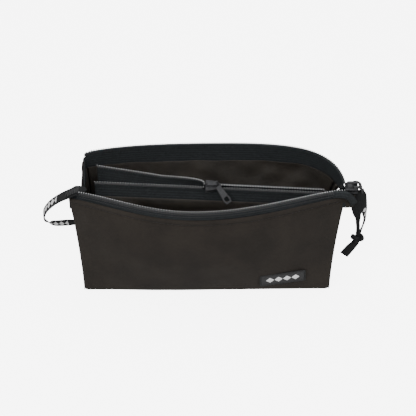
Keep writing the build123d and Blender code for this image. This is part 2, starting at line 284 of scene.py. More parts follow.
def merged(parts):
    """One set of points and faces from several."""
    points, faces, start = [], [], 0
    for some, quads in parts:
        points.append(some)
        faces += [[k + start for k in face] for face in quads]
        start += len(some)
    return np.vstack(points), faces


def lengths(path):
    """The distance along a path to each of its points."""
    return np.concatenate([[0], np.cumsum(np.linalg.norm(np.diff(path, axis=0), axis=1))])


def sampled(values, known, at):
    """Vectors at some stations, from those known at others."""
    return np.stack([np.interp(at, known, values[:, c]) for c in range(3)], -1)


def resampled(path, count):
    """Points evenly spaced by length along a path, and its length."""
    length = lengths(path)
    return sampled(path, length, np.linspace(0, length[-1], count)), length[-1]


def smooth_path(controls, samples=120):
    """A Catmull-Rom path through control points."""
    p = np.asarray(controls, float)
    p = np.vstack([2 * p[0] - p[1], p, 2 * p[-1] - p[-2]])
    out = []
    per = max(4, samples // (len(p) - 3))
    for i in range(1, len(p) - 2):
        for t in np.linspace(0, 1, per, endpoint=False):
            a, b, c, d = p[i - 1], p[i], p[i + 1], p[i + 2]
            out.append(0.5 * (2 * b + (c - a) * t + (2 * a - 5 * b + 4 * c - d) * t**2
                              + (3 * b - a - 3 * c + d) * t**3))
    out.append(p[-2])
    return np.array(out)


# -------------------------------------------------------------------- riding on bodies


def settle(piece, body=None, replaces=()):
    """Hides the CAD parts that the piece stands for and attaches it to the body that it rides on.
    """
    if replaces:
        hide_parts(*replaces)
    if body:
        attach(piece, body)
    return piece


def follow(piece, weights):
    """Bakes a piece's transform into its mesh. The weights are not used."""
    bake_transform(piece)
    return piece


def points_of(piece):
    """A mesh's points in mm."""
    flat = np.zeros(len(piece.data.vertices) * 3, np.float32)
    piece.data.vertices.foreach_get("co", flat)
    return flat.reshape(-1, 3).astype(float) / MM


def on_wall(piece, side, replaces=(), x=None):
    """Settles a piece of a long wall and bakes its transform; the share of the wall's lean at x is
    worked out and passed on, but nothing moves the piece by it.
    """
    settle(piece, replaces=replaces)
    x = points_of(piece)[:, 0] if x is None else np.ravel(x)
    body, full = ("front_wall", FRONT_OPEN) if side < 0 else ("back_wall", BACK_OPEN)
    follow(piece, lean(side, x) / full)


def stations_of(piece, path, stations):
    """For each point of a piece, the station of the nearest point of its path."""
    tree = KDTree(len(path))
    for index, at in enumerate(path):
        tree.insert(Vector(at), index)
    tree.balance()
    return np.array([stations[tree.find(Vector(at))[1]] for at in points_of(piece)])


def pocket_front_share(x):
    return 1 - 0.72 * ease((x - 15) / 88)


def bottom_share(piece):
    """A share from 0 at the pocket's bottom seam that grows with height."""
    return ease((points_of(piece)[:, 2] - POCKET_LOW) / (0.75 * (POCKET_Z - POCKET_LOW)))


def pocket_back_share(x):
    """The share of the back wall's opening by which the pocket's back lip stands out from just
    behind the front.
    """
    y, z = chain_line(x)
    swing = np.radians(POCKET_SWING * pocket_front_share(x))
    reach, rise = y - POCKET_FRONT_FOOT, z - POCKET_LOW
    closed_y = POCKET_FRONT_FOOT + reach * np.cos(swing) - rise * np.sin(swing) + 3.0
    open_y = y + back_lip_gap(x)
    return np.degrees(np.arcsin(clip((open_y - closed_y) / z))) / BACK_OPEN


# --------------------------------------------------------------------------- materials


class Nodes:
    """A small helper that adds shader nodes and links them."""

    def __init__(self, name):
        self.material = bpy.data.materials.new(name)
        self.material.use_nodes = True
        self.tree = self.material.node_tree
        self.shader = self.tree.nodes["Principled BSDF"]

    def add(self, kind, **values):
        node = self.tree.nodes.new(kind)
        for key, value in values.items():
            setattr(node, key, value)
        return node

    def link(self, a, b):
        self.tree.links.new(a, b)

    def math(self, operation, a, b=None, c=None):
        node = self.add("ShaderNodeMath", operation=operation)
        for socket, value in zip(node.inputs, (a, b, c)):
            if isinstance(value, (int, float)):
                socket.default_value = value
            elif value is not None:
                self.link(value, socket)
        return node.outputs[0]

    def split(self, vector):
        separate = self.add("ShaderNodeSeparateXYZ")
        self.link(vector, separate.inputs[0])
        return separate.outputs

    def uv(self):
        return self.split(self.add("ShaderNodeUVMap", uv_map="cloth").outputs[0])[:2]

    def place(self):
        """The object's own coordinates, in mm."""
        scale = self.add("ShaderNodeVectorMath", operation="SCALE")
        self.link(self.add("ShaderNodeTexCoord").outputs["Object"], scale.inputs[0])
        scale.inputs["Scale"].default_value = 1 / MM
        return scale.outputs[0]

    def noise(self, size, detail=3.0, roughness=0.55):
        """Noise of a given size in mm, from 0 to 1."""
        node = self.add("ShaderNodeTexNoise")
        node.inputs["Scale"].default_value = 1 / size
        node.inputs["Detail"].default_value = detail
        node.inputs["Roughness"].default_value = roughness
        self.link(self.place(), node.inputs["Vector"])
        return node.outputs[0]

    def wave(self, value, pitch, shift=0.0):
        """A sine of a length in mm, with a given pitch, from -1 to 1."""
        return self.math("SINE", self.math("MULTIPLY_ADD", value, 2 * math.pi / pitch, shift))

    def ramp(self, value, low, high, dark, light):
        """A colour from dark to light as value goes from low to high."""
        share = self.add("ShaderNodeMapRange", clamp=True)
        self.link(value, share.inputs["Value"])
        share.inputs["From Min"].default_value = low
        share.inputs["From Max"].default_value = high
        return self.mix(share.outputs[0], dark, light)

    def mix(self, share, dark, light):
        mix = self.add("ShaderNodeMix", data_type="RGBA")
        self.link(share, mix.inputs[0])
        for socket, colour in ((mix.inputs[6], dark), (mix.inputs[7], light)):
            if isinstance(colour, tuple):
                socket.default_value = (*colour, 1)
            else:
                self.link(colour, socket)
        return mix.outputs[2]

    def bump(self, height, distance):
        node = self.add("ShaderNodeBump")
        node.inputs["Distance"].default_value = distance * MM
        self.link(height, node.inputs["Height"])
        return node.outputs[0]

    def set(self, **values):
        for key, value in values.items():
            socket = self.shader.inputs[key.replace("_", " ")]
            if hasattr(value, "links"):
                self.link(value, socket)
            else:
                socket.default_value = value
        return self.material


def woven(name, dark, light, pitch, depth, roughness, mottle, gloss, sheen=0.0, twill=False):
    """A plain or twill weave over the cloth's own uv, with uneven yarns and slubs."""
    n = Nodes(name)
    u, v = n.uv()
    if twill:
        slant = n.math("ADD", u, v)
        weave = n.math("MULTIPLY", n.wave(slant, pitch), n.wave(u, pitch * 0.5))
    else:
        weave = n.math("MULTIPLY", n.wave(u, 2 * pitch), n.wave(v, 2 * pitch))
    large, small = n.noise(mottle, 4.0), n.noise(1.3, 3.0, roughness=0.7)
    uneven = n.math("ADD", n.math("MULTIPLY", large, 0.8), n.math("MULTIPLY", small, 0.5))
    tone = n.math("MULTIPLY_ADD", weave, 0.16, uneven)
    colour = n.ramp(tone, 0.3, 1.0, dark, light)
    height = n.math("MULTIPLY_ADD", small, 0.9, weave)
    rough = n.math("MULTIPLY_ADD", small, 0.16, roughness - 0.08)
    n.set(Base_Color=colour, Roughness=rough, Normal=n.bump(height, depth),
          Specular_IOR_Level=gloss)
    if sheen:
        n.set(Sheen_Weight=sheen, Sheen_Roughness=0.5)
    return n.material


def tape_material():
    """Woven zip tape: fine ribs along its length and a herringbone across them."""
    n = Nodes("zip_tape")
    u, v = n.uv()
    bands = n.wave(v, 2.4)
    zigzag = n.math("ADD", u, n.math("MULTIPLY", n.math("PINGPONG", v, 1.2), 1.2))
    weave = n.math("MULTIPLY_ADD", bands, 0.5, n.wave(zigzag, 0.7))
    small = n.noise(1.1, 3.0)
    tone = n.math("MULTIPLY_ADD", weave, 0.2, small)
    n.set(Base_Color=n.ramp(tone, 0.2, 0.95, TAPE_DARK, TAPE_LIGHT), Roughness=0.74,
          Normal=n.bump(n.math("MULTIPLY_ADD", small, 0.6, weave), 0.12),
          Specular_IOR_Level=0.25)
    return n.material


def nylon_material(name, dark, light, painted_highlight):
    """The coil's monofilament: smooth and a little uneven, its outer heads painted pale as a
    painted highlight.
    """
    n = Nodes(name)
    tone = n.noise(2.2, 3.0)
    v = n.uv()[1]
    # Painted highlight: towards the coil's outer heads the colour fades to a pale tone, as if lit.
    n.set(Base_Color=n.ramp(v, 0.55, 0.95, n.ramp(tone, 0.3, 0.75, dark, light), painted_highlight),
          Roughness=n.math("MULTIPLY_ADD", n.noise(0.9), 0.22, 0.2),
          Specular_IOR_Level=0.6, Normal=n.bump(n.noise(0.5), 0.03))
    return n.material


def thread_material(name, dark, light):
    """Twisted sewing thread."""
    n = Nodes(name)
    x, _, z = n.split(n.place())
    twist = n.wave(n.math("ADD", x, z), 0.5)
    tone = n.math("MULTIPLY_ADD", twist, 0.25, n.noise(1.5))
    n.set(Base_Color=n.ramp(tone, 0.2, 0.8, dark, light), Roughness=0.62,
          Normal=n.bump(twist, 0.06))
    return n.material


def enamel_material():
    """Black enamel on zinc: slight orange peel, dust in places and rubbed edges."""
    n = Nodes("enamel")
    worn = n.ramp(n.add("ShaderNodeNewGeometry").outputs["Pointiness"], 0.5, 0.58,
                  (0.0, 0.0, 0.0), (1.0, 1.0, 1.0))
    patchy = n.math("MULTIPLY", worn, n.noise(1.6, 4.0))
    base = n.ramp(n.noise(3.0, 4.0), 0.3, 0.7, ENAMEL_DARK, ENAMEL_LIGHT)
    n.set(Base_Color=n.mix(patchy, base, ENAMEL_WORN), Metallic=0.35,
          Roughness=n.math("MULTIPLY_ADD", n.noise(1.2, 4.0), 0.3, 0.22),
          Specular_IOR_Level=0.35, Normal=n.bump(n.noise(0.6, 2.0), 0.035))
    return n.material


def ribbon_material(name, printed):
    """Black woven ribbon with fine ribs and firm selvages, printed between two lengths."""
    n = Nodes(name)
    u, v = n.uv()
    ribs = n.wave(u, 0.62)
    grain = n.noise(0.8, 3.0)
    edge = n.math("GREATER_THAN", n.math("ABSOLUTE", v), 0.86)
    ribbed = n.math("MULTIPLY_ADD", ribs, 0.2, grain)
    tone = n.math("ADD", ribbed, n.math("MULTIPLY", edge, 0.25))
    colour = n.ramp(tone, 0.2, 1.0, RIBBON_DARK, RIBBON_LIGHT)
    if printed:
        # A row of solid lozenges inside the ribbon's middle
        cell = n.math("PINGPONG", u, 2.6)
        reach = n.math("MULTIPLY_ADD", cell, 0.3, n.math("ABSOLUTE", v))
        ink = n.math("LESS_THAN", reach, 0.74)
        low, high = printed
        where = n.math("MULTIPLY", n.math("GREATER_THAN", u, low), n.math("LESS_THAN", u, high))
        ink = n.math("MULTIPLY", ink, where)
        pale = n.ramp(grain, 0.2, 0.9, (0.72, 0.72, 0.72), (0.95, 0.95, 0.95))
        colour = n.mix(ink, colour, pale)
    n.set(Base_Color=colour, Roughness=0.65, Specular_IOR_Level=0.25,
          Normal=n.bump(n.math("MULTIPLY_ADD", grain, 0.5, ribs), 0.1))
    return n.material


def rubber_material(name, dark, light, roughness, ridges=0.0):
    """Moulded soft rubber, matt, with fine moulding grain."""
    n = Nodes(name)
    grain = n.noise(0.5, 3.0)
    height = grain
    if ridges:
        height = n.math("MULTIPLY_ADD", n.wave(n.split(n.place())[2], ridges), 0.8, grain)
    tone = n.math("MULTIPLY_ADD", n.noise(4.0), 0.6, n.math("MULTIPLY", height, 0.4))
    n.set(Base_Color=n.ramp(tone, 0.2, 0.9, dark, light), Roughness=roughness,
          Normal=n.bump(height, 0.08))
    return n.material


TAPE_DARK, TAPE_LIGHT = (0.01, 0.0115, 0.0125), (0.04, 0.046, 0.05)
ENAMEL_DARK, ENAMEL_LIGHT = (0.005, 0.005, 0.006), (0.013, 0.014, 0.015)
ENAMEL_WORN = (0.075, 0.076, 0.08)
RIBBON_DARK, RIBBON_LIGHT = (0.004, 0.0042, 0.0045), (0.014, 0.015, 0.016)
NYLON_LIGHT = (0.03, 0.032, 0.034)

OUTER = woven("outer_cloth", (0.012, 0.0095, 0.0075), (0.041, 0.0338, 0.0275), pitch=0.42,
              depth=0.13, roughness=0.85, mottle=38.0, gloss=0.22, sheen=0.03)
LINING = woven("lining_satin", (0.011, 0.0093, 0.0075), (0.048, 0.041, 0.033), pitch=0.3,
               depth=0.05, roughness=0.47, mottle=22.0, gloss=0.4, twill=True)
TAPE = tape_material()
# Two copies of one nylon: the first has its coil heads painted pale as a painted highlight; the
# second, for the back coil, has them painted dark as painted shade.
NYLON_PAINTED_HIGHLIGHT = nylon_material("coil_nylon_painted_highlight", (0.008, 0.0085, 0.009), NYLON_LIGHT, (0.75, 0.76, 0.77))
NYLON_SHADED = nylon_material("coil_nylon_back_painted_shade", (0.01, 0.011, 0.012), NYLON_LIGHT,
                              (0.1, 0.1, 0.1))
STITCH = thread_material("dark_thread", (0.012, 0.01, 0.009), (0.036, 0.032, 0.029))
COIL_THREAD = thread_material("coil_thread", (0.025, 0.027, 0.029), (0.078, 0.083, 0.088))
TACK_THREAD = thread_material("tack_thread", (0.01, 0.0105, 0.011), (0.034, 0.035, 0.037))
ENAMEL = enamel_material()
LOOP_RIBBON = ribbon_material("loop_ribbon", (31.0, 84.0))
PULL_RIBBON = ribbon_material("pull_ribbon", (24.0, 36.0))
PLAIN_RIBBON = ribbon_material("plain_ribbon", None)
PATCH_RIM = rubber_material("patch_rim", (0.003, 0.003, 0.0035), (0.009, 0.009, 0.0095), 0.5)
PATCH_FIELD = rubber_material("patch_field", (0.016, 0.016, 0.017), (0.062, 0.062, 0.064), 0.7,
                              ridges=0.9)
PATCH_MOTIF = rubber_material("patch_motif", (0.92, 0.92, 0.92), (1.0, 1.0, 1.0), 0.5)
BOARD = rubber_material("board_plastic", (0.08, 0.08, 0.08), (0.14, 0.14, 0.14), 0.6)

# --------------------------------------------------------------------- camera and light

CAMERA_LENS, CAMERA_DISTANCE = 72.0, 0.7346
CAMERA_ELEVATION, CAMERA_AZIMUTH = 41.4, -0.3
CAMERA_TARGET = Vector((0.0012, 0.0056, 0.0673))
WORLD, FLOOR_GLOW = 0.64, 6.0
LIGHTS = (("key", (-0.5, -0.75, 1.0), 0.9, 10.6), ("fill", (0.8, -0.5, 0.7), 0.8, 3.2),
          ("top", (0.1, 0.5, 1.1), 0.8, 6.0))
FLOOR_PROFILE = [(-1.5, 0.0), (0.9, 0.0), (1.15, 0.05), (1.3, 0.2), (1.34, 1.4)]
FLOOR_HALF, FLOOR_DROP = 1600.0, 0.02


def aimed(name, data, position, direction):
    """Puts a camera or light into the scene, pointing in a direction."""
    thing = bpy.data.objects.new(name, data)
    thing.location = position
    thing.rotation_mode = "QUATERNION"
    thing.rotation_quaternion = direction.to_track_quat("-Z", "Y")
    bpy.context.scene.collection.objects.link(thing)
    return thing


def place_camera():
    e, a = math.radians(CAMERA_ELEVATION), math.radians(CAMERA_AZIMUTH)
    back = Vector((math.sin(a) * math.cos(e), -math.cos(a) * math.cos(e), math.sin(e)))
    data = bpy.data.cameras.new("camera")
    data.lens = CAMERA_LENS
    position = CAMERA_TARGET + back * CAMERA_DISTANCE
    bpy.context.scene.camera = aimed("camera", data, position, -back)


def area_light(name, position, size, power):
    """A soft square light that faces the case."""
    data = bpy.data.lights.new(name, "AREA")
    data.energy, data.size = power, size
    aimed(name, data, position, Vector((0, 0, 0.05)) - Vector(position))


def studio():
    """A pale floor that curves up behind, a pale world and three soft lights."""
    path = smooth_path([(0.0, y * 1000, z * 1000) for y, z in FLOOR_PROFILE], 60)
    sweep = np.stack([path + np.array([x, 0, -FLOOR_DROP]) for x in (-FLOOR_HALF, FLOOR_HALF)])
    floor = new_mesh("floor", sweep, grid_faces(*sweep.shape[:2]))
    n = Nodes("floor_paper")
    paper = n.ramp(n.noise(90.0, 2.0), 0.2, 0.8, (0.87, 0.87, 0.87), (0.9, 0.9, 0.9))
    n.set(Base_Color=paper, Roughness=0.95, Emission_Color=(1.0, 1.0, 1.0, 1.0),
          Emission_Strength=FLOOR_GLOW)
    floor.data.materials.append(n.material)
    floor.visible_diffuse = False
    floor.visible_glossy = False
    world = bpy.data.worlds.new("pale")
    world.use_nodes = True
    background = world.node_tree.nodes["Background"]
    background.inputs[0].default_value = (1, 1, 1, 1)
    background.inputs[1].default_value = WORLD
    bpy.context.scene.world = world
    for light in LIGHTS:
        area_light(*light)


place_camera()
studio()

# -------------------------------------------------------------------------- long walls

WALL_HALF = 118.0       # a wall's half width, as its folds and puckers measure it
PANEL_FOLDS = 0.75      # how much of the folds the outer panel shows
PUCKER_PITCH = 5.3


def edge_roll(share, width, depth):
    """How far cloth rolls under towards a seam, as its distance share to it goes to 1."""
    return -depth * clip((share - (1 - width)) / width) ** 2


def wall_relief(side, inside=False):
    """The soft folds of a long wall, over its width share and height share."""
    seed = 7 if side < 0 else 21

    def relief(s, v):
        x, z = s * WALL_HALF, v * LIP_Z
        broad = bumps(x, z, seed, 110.0, 2) * 1.7
        fine = bumps(x, z, seed + 1, 40.0, 3) * 0.5
        still = ease((1 - np.abs(s)) / 0.12) * ease(v / 0.12) * ease((1.02 - v) / 0.2)
        folds = (broad + fine) * (0.35 + 0.65 * still)
        if inside:
            creases = bumps(x * 0.6, z * 1.15, seed + 5, 66.0, 3)
            folds = folds * 0.4 + creases * 4.2 * still
        return folds
    return relief


def panel_relief(side):
    """The folds of a long wall's outer panel, over x and height share."""
    relief = wall_relief(side)
    return lambda x, v: relief(x / half_width(v), v) * PANEL_FOLDS


def wall_surface(side, point, a, b, offset, relief=None):
    return surface(point, a, b, (0, side, 0.2), offset, relief)


def long_wall(side, name):
    """The outer panel, with its turned top hem and its base fold, and the lining."""
    plain, body, inner = wall(side), wall_relief(side), wall_relief(side, inside=True)
    panel_inset, lining_inset = 0.4, 3.2

    def panel(s, v):
        return plain(s * (half_width(v) - panel_inset), v)

    def outer_relief(s, v):
        above = v - HEM_TOP
        hem = 0.35 * ease((above + 0.045) / 0.004) - 0.75 * clip((above + 0.01) / 0.01) ** 2
        pucker = 0.16 * np.sin(2 * math.pi * s * WALL_HALF / PUCKER_PITCH)
        pucker = pucker * np.exp(-((above + 0.04) / 0.02) ** 2)
        fold = -2.6 * clip((0.05 - v) / 0.05) ** 2
        groove = -0.7 * np.exp(-((v - STITCH_LINE) / 0.007) ** 2)
        roll = edge_roll(np.abs(s), 0.022, 1.5)
        return body(s, v) * PANEL_FOLDS + hem + pucker + fold + groove + roll

    heights = np.concatenate([np.linspace(0.0, 0.05, 9), np.linspace(0.06, HEM_TOP - 0.055, 70),
                              np.linspace(HEM_TOP - 0.05, HEM_TOP, 22)])
    edge = 1 - np.linspace(0, 1, 10) ** 2 * 0.03
    shares = np.concatenate([-edge, np.linspace(-0.965, 0.965, 230), edge[::-1]])
    grid, _ = wall_surface(side, panel, shares, heights, 1.2, outer_relief)
    grid[..., 2] = np.maximum(grid[..., 2], 0.4)
    on_wall(cloth(f"{name}_outer", grid, 0.7, OUTER), side, [f"{name}_panel"],
            shares[:, None] * (half_width(heights) - panel_inset))

    def lined(s, v):
        return plain(s * (half_width(v) - lining_inset), v)

    heights = np.concatenate([np.linspace(0.03, 0.8, 80), np.linspace(0.805, 0.845, 8)])
    grid, _ = wall_surface(side, lined, np.linspace(-1, 1, 240), heights, -1.9,
                           lambda s, v: inner(s, v) * 0.9)
    on_wall(cloth(f"{name}_inside_lining", grid, 0.35, LINING), side,
            [f"{name}_lining"])


def stitch_row(name, path, normals, radius, lift, length=2.3, gap=0.75):
    """A row of stitches: short flattened threads that dip into the cloth at both ends."""
    even, total = resampled(path, 4 * len(path))
    index = np.arange(len(even))
    normals = sampled(normals, np.arange(len(path)) / len(path), index / len(even))
    arch = np.sin(np.linspace(0, math.pi, 6))
    parts = []
    for k in range(int(total / (length + gap))):
        t = (k * (length + gap) + np.linspace(0, length, 6)) / total * (len(even) - 1)
        line, up = sampled(even, index, t), sampled(normals, index, t)
        line = line + up * (arch * lift - 0.1)[:, None]
        parts.append(tube_parts(line, radius * (0.45 + 0.55 * arch), 6, 0.8, up))
    return new_mesh(name, *merged(parts), material=STITCH)


def wall_line(side, v, offset, start, end, count=260):
    """A line along a long wall at one height share, with the wall's normals there."""
    grid, normal = wall_surface(side, wall(side), np.linspace(start, end, count), [v, v + 1e-3],
                                offset, panel_relief(side))
    return grid[:, 0], normal[:, 0]


for wall_side, wall_name in SIDES:
    long_wall(wall_side, wall_name)
for wall_side, wall_name in SIDES:
    stitch_path, stitch_normal = wall_line(wall_side, STITCH_LINE, 1.65, -116.0, 115.0)
    on_wall(stitch_row(f"{wall_name}_topstitch", stitch_path, stitch_normal, 0.26, 0.25),
            wall_side)

# ------------------------------------------------------------------------- end panels

RIGHT_END_TOP, SEAM_TOP, SEAM_STEPS, SEAM_SIDES = 0.945, 0.86, 90, 12


def end_sheet(end, piece_name, shares, heights, offset, relief, thickness, material,
              replaces=()):
    """A sheet over part of an end panel, turning as much as the panel does there."""
    grid, _ = surface(gusset(end), shares, heights, (end, 0, 0), offset, relief)
    piece = cloth(piece_name, grid, thickness, material)
    settle(piece, replaces=replaces)
    follow(piece, gusset_turn(end, shares[:, None], heights[None, :]) / BACK_OPEN)


def end_panels():
    """The two gussets, their linings, the rolled seams beside them and a binding."""
    for end, name, top in ((-1, "left", FABRIC_TOP), (1, "right", RIGHT_END_TOP)):

        def folds(s, v):
            held = np.sin(math.pi * clip(s)) ** 0.7 * ease(v / 0.1)
            return bumps(60 * s, v * LIP_Z, 40 + end, 60.0, 3) * 0.9 * held

        shares, heights = np.linspace(0.002, 0.998, 70), np.linspace(0.01, top, 90)
        end_sheet(end, f"{name}_end_outer", shares, heights, 0.3, folds, 0.7, OUTER,
                  [f"{name}_gusset"])
        end_sheet(end, f"{name}_end_lining", shares, heights, -0.7, folds, 0.35, LINING,
                  [f"{name}_gusset_lining"])
        for side, beside in SIDES:
            rise = np.linspace(0.035, min(top, SEAM_TOP) - 0.03, SEAM_STEPS)
            seam = wall(side)(end * (half_width(rise) - 1.8), rise)
            seam = seam - np.array([0.0, 1.3 * side, 0.0])
            inwards = np.broadcast_to([-end * 0.7, -side * 0.7, 0.0], seam.shape)
            points, faces = tube_parts(seam, 1.7, SEAM_SIDES, 0.6, inwards)
            index = np.repeat(np.arange(float(SEAM_STEPS)), SEAM_SIDES)
            uv = np.stack([index, 0 * index], -1)
            on_wall(new_mesh(f"{name}_{beside}_seam", points, faces, uv, LINING), side)
    end_sheet(-1, "left_end_binding", np.linspace(0.02, 0.985, 80),
              np.linspace(0.76, FABRIC_TOP + 0.03, 20), -1.5,
              lambda s, v: -0.2 * bumps(60 * s, v * LIP_Z, 8, 20.0), 0.5, TAPE)


end_panels()

# ---------------------------------------------------------------------------- the base


def base():
    """The base panel, with rounded corners and a stitched edge, and the lining over it."""
    width, depth, radius, inset = HALF_BASE - 0.6, HALF_DEPTH - 0.4, 6.0, 4.0

    def rounded(a, b, less=0.0):
        x, y = a * (width - less), b * (depth - less)
        over_x = np.maximum(np.abs(x) - (width - less - radius), 0)
        over_y = np.maximum(np.abs(y) - (depth - less - radius), 0)
        reach = np.hypot(over_x, over_y)
        pull = np.where(reach > radius, radius / np.maximum(reach, 1e-9), 1.0)
        x = np.sign(x) * (np.abs(x) - over_x * (1 - pull))
        y = np.sign(y) * (np.abs(y) - over_y * (1 - pull))
        return x, y

    def below(a, b):
        x, y = rounded(a, b)
        rim = np.maximum(np.abs(a), np.abs(b))
        z = 0.45 + 1.1 * clip((rim - 0.97) / 0.03) ** 2 + 0.12 * bumps(x, y, 3, 50.0)
        return np.stack([x, y, z], -1)

    steps = np.concatenate([[-1, -0.995, -0.985], np.linspace(-0.97, 0.97, 90), [0.985, 0.995, 1]])
    aa, bb = np.meshgrid(steps, steps, indexing="ij")
    settle(cloth("base_outer", below(aa, bb), 0.7, OUTER), "case", ["base_panel"])
    turn = np.linspace(0, 2 * math.pi, 400)
    square = np.stack([np.cos(turn), np.sin(turn)], -1)
    square /= np.abs(square).max(axis=1, keepdims=True)
    x, y = rounded(square[:, 0], square[:, 1], inset)
    line = np.stack([x, y, 0 * x + 0.1], -1)
    down = np.broadcast_to([0.0, 0.0, -1.0], line.shape)
    settle(stitch_row("base_stitch", line, down, 0.2, 0.02), "case")

    def floor_lining(a, b):
        x, y = rounded(a, b, inset)
        return np.stack([x, y, 2.2 + 0.25 * bumps(x, y, 5, 40.0)], -1)

    piece = cloth("base_inside_lining", floor_lining(aa, bb), 0.35, LINING)
    settle(piece, "case", ["base_lining"])


base()

# ---------------------------------------------------------------------------- the zips

TURN_STEPS, WIRE_SIDES, CORE_SIDES = 14, 6, 8


def coil(name, path, across, normal, half_length, half_height, wire, material):
    """A flattened spiral of monofilament round a core cord, its long way across the path."""
    length = lengths(path)
    turns = int(length[-1] / TOOTH_PITCH)
    angle = np.linspace(0, 2 * math.pi * turns, turns * TURN_STEPS + 1)
    at = TOOTH_PITCH * (angle - 0.9 * np.sin(angle)) / (2 * math.pi)
    even, out, up = (sampled(q, length, at) for q in (path, across, normal))
    squared = np.sign(np.cos(angle)) * np.abs(np.cos(angle)) ** 0.8
    line = even + out * (half_length * squared)[:, None]
    line = line + up * (half_height * np.sin(angle))[:, None]
    points, faces = merged([tube_parts(line, wire, WIRE_SIDES, 1.0, np.cross(out, up)),
                            tube_parts(path, 1.0, CORE_SIDES, 0.5, across)])
    uv = [np.repeat(np.stack([at, np.cos(angle)], -1), WIRE_SIDES, axis=0),
          np.repeat(np.stack([length, 0 * length - 1], -1), CORE_SIDES, axis=0)]
    return new_mesh(name, points, faces, np.vstack(uv), material)


def corner_drop(side, x):
    """How far, as a height share, the back tape's rounded left corner drops."""
    return 0.05 * clip((-109.0 - x) / 9.0) ** 2.5 * (side > 0)


def lip(side, offset, stations):
    """The path of a row of teeth, with the ways across it and out of it."""
    def point(x, w):
        return wall(side)(x, w - corner_drop(side, x))
    grid, normal = wall_surface(side, point, stations, [TAPE_TOP, TAPE_TOP + 1e-3], offset)
    across = grid[:, 1] - grid[:, 0]
    return grid[:, 0], unit(across), normal[:, 0]


def tape_cords(name, path, across, normal, rows):
    """The threads that sew a coil to its tape: rows of small slanted loops."""
    parts = []
    even, total = resampled(path, int(len(path) * 1.5))
    index, known = np.linspace(0, 1, len(even)), np.linspace(0, 1, len(path))
    out, up = sampled(across, known, index), sampled(normal, known, index)
    count = int(total / TOOTH_PITCH)
    arch = np.sin(np.linspace(0, math.pi, 5))
    for shift, lift in rows:
        for k in range(count):
            t = np.linspace(k, k + 0.72, 5) / (count + 1)
            line, side, rise = (sampled(q, index, t) for q in (even, out, up))
            line = line + side * (shift + 0.55 * np.linspace(-1, 1, 5))[:, None]
            line = line + rise * (lift + 0.22 * arch)[:, None]
            parts.append(tube_parts(line, 0.22 + 0.12 * arch, 5, 0.8, rise))
    return new_mesh(name, *merged(parts), material=COIL_THREAD)


def main_zip():
    """Both tapes of the main zip, their coils, and the threads that hold them."""
    for side, name in SIDES:
        heights = np.linspace(TAPE_LOW, TAPE_TOP, 22)
        stations = np.linspace(TAPE_START - 1.2, TAPE_END + 2.2, 260)

        def ripple(x, v):
            return 0.22 * bumps(x, v * LIP_Z, 60 + side, 26.0, 2)

        def band(x, v):
            drop = corner_drop(side, x) * (v - TAPE_LOW) / (TAPE_TOP - TAPE_LOW)
            return wall(side)(x, v - drop)

        grid, _ = wall_surface(side, band, stations, heights, 0.0, ripple)
        on_wall(cloth(f"{name}_tape", grid, 0.55, TAPE), side, [f"{name}_zip_tape"],
                np.repeat(stations, len(heights)))
        first = COIL_START if side < 0 else TAPE_START + 3
        along = np.linspace(first, TAPE_END + 0.8, 700)
        path, across, normal = lip(side, 0.95, along)
        # The front coil gets the nylon with painted highlights on its heads, the back coil the
        # copy with painted shade.
        nylon = NYLON_PAINTED_HIGHLIGHT if side < 0 else NYLON_SHADED
        piece = coil(f"{name}_coil", path, across, normal, 1.6, 0.7, 0.36, nylon)
        on_wall(piece, side, [f"{name}_zip_teeth"], stations_of(piece, path, along))
        rows = [(-1.2, 0.8), (-3.2, -0.1)]
        piece = tape_cords(f"{name}_coil_stitch", path, across, normal, rows)
        on_wall(piece, side, x=stations_of(piece, path, along))
        line, normal = wall_line(side, TAPE_LOW + 0.008, -0.45, -114.0, 112.0)
        on_wall(stitch_row(f"{name}_inner_stitch", line, -normal, 0.22, 0.3), side)


main_zip()


def tape_tail():
    """The ends of both tapes, which come out below the slider and curl over the tab."""
    upper = smooth_path([(104.0, -3.2, 93.6), (110.0, -4.4, 95.0), (116.0, -5.4, 96.0),
                         (120.6, -6.4, 95.4), (124.4, -6.6, 92.4), (127.6, -5.6, 87.6),
                         (130.0, -4.2, 82.6)], 60)
    lower = smooth_path([(104.0, -5.6, 86.6), (110.0, -6.6, 89.0), (115.4, -8.2, 90.4),
                         (118.8, -8.8, 89.8), (121.2, -8.2, 87.0), (122.8, -7.2, 83.4),
                         (124.6, -6.2, 79.4)], 60)
    share = np.linspace(0, 1, 12)[None, :, None]
    grid = lower[:, None] * (1 - share) + upper[:, None] * share
    bow = np.sin(np.linspace(0, math.pi, 12))[None, :, None] * np.array([0.2, -1.0, 0.7])
    settle(cloth("front_tape_tail", grid + bow, 0.7, TAPE), "case")
    behind = grid[18:] * np.array([1, -0.5, 1]) + np.array([-0.4, -1.6, -1.6])
    settle(cloth("back_tape_tail", behind, 0.7, TAPE), "case")


def end_tab():
    """The folded tab of outer fabric under the slider, with its own stitching."""
    outline = smooth_path([(116.8, -4.8, 0), (121, -5.2, 0), (125.4, -5.0, 0), (127.2, -3.3, 0),
                           (125.4, -1.6, 0), (121.0, -1.5, 0), (118.0, -1.2, 0)], 60)
    heights = np.linspace(76.6, 89.2, 18)
    grid = np.stack([outline + np.array([0, 0, z]) for z in heights], 1)
    grid[..., 1] += 0.25 * bumps(grid[..., 0] * 3, grid[..., 2], 80, 20.0)
    grid[..., 2] += 0.05 * (grid[..., 0] - 117) * 1.2
    piece = cloth("end_tab", grid, 0.8, OUTER)
    settle(piece, "case", ["zip_end_tab"])
    line = np.stack([[119.6, -5.7, z] for z in np.linspace(77.5, 88.5, 30)])
    out = np.broadcast_to([0.0, -1.0, 0.0], line.shape)
    piece = stitch_row("end_tab_stitch", line, out, 0.22, 0.25, 2.0, 0.6)
    settle(piece, "case")


tape_tail()
end_tab()


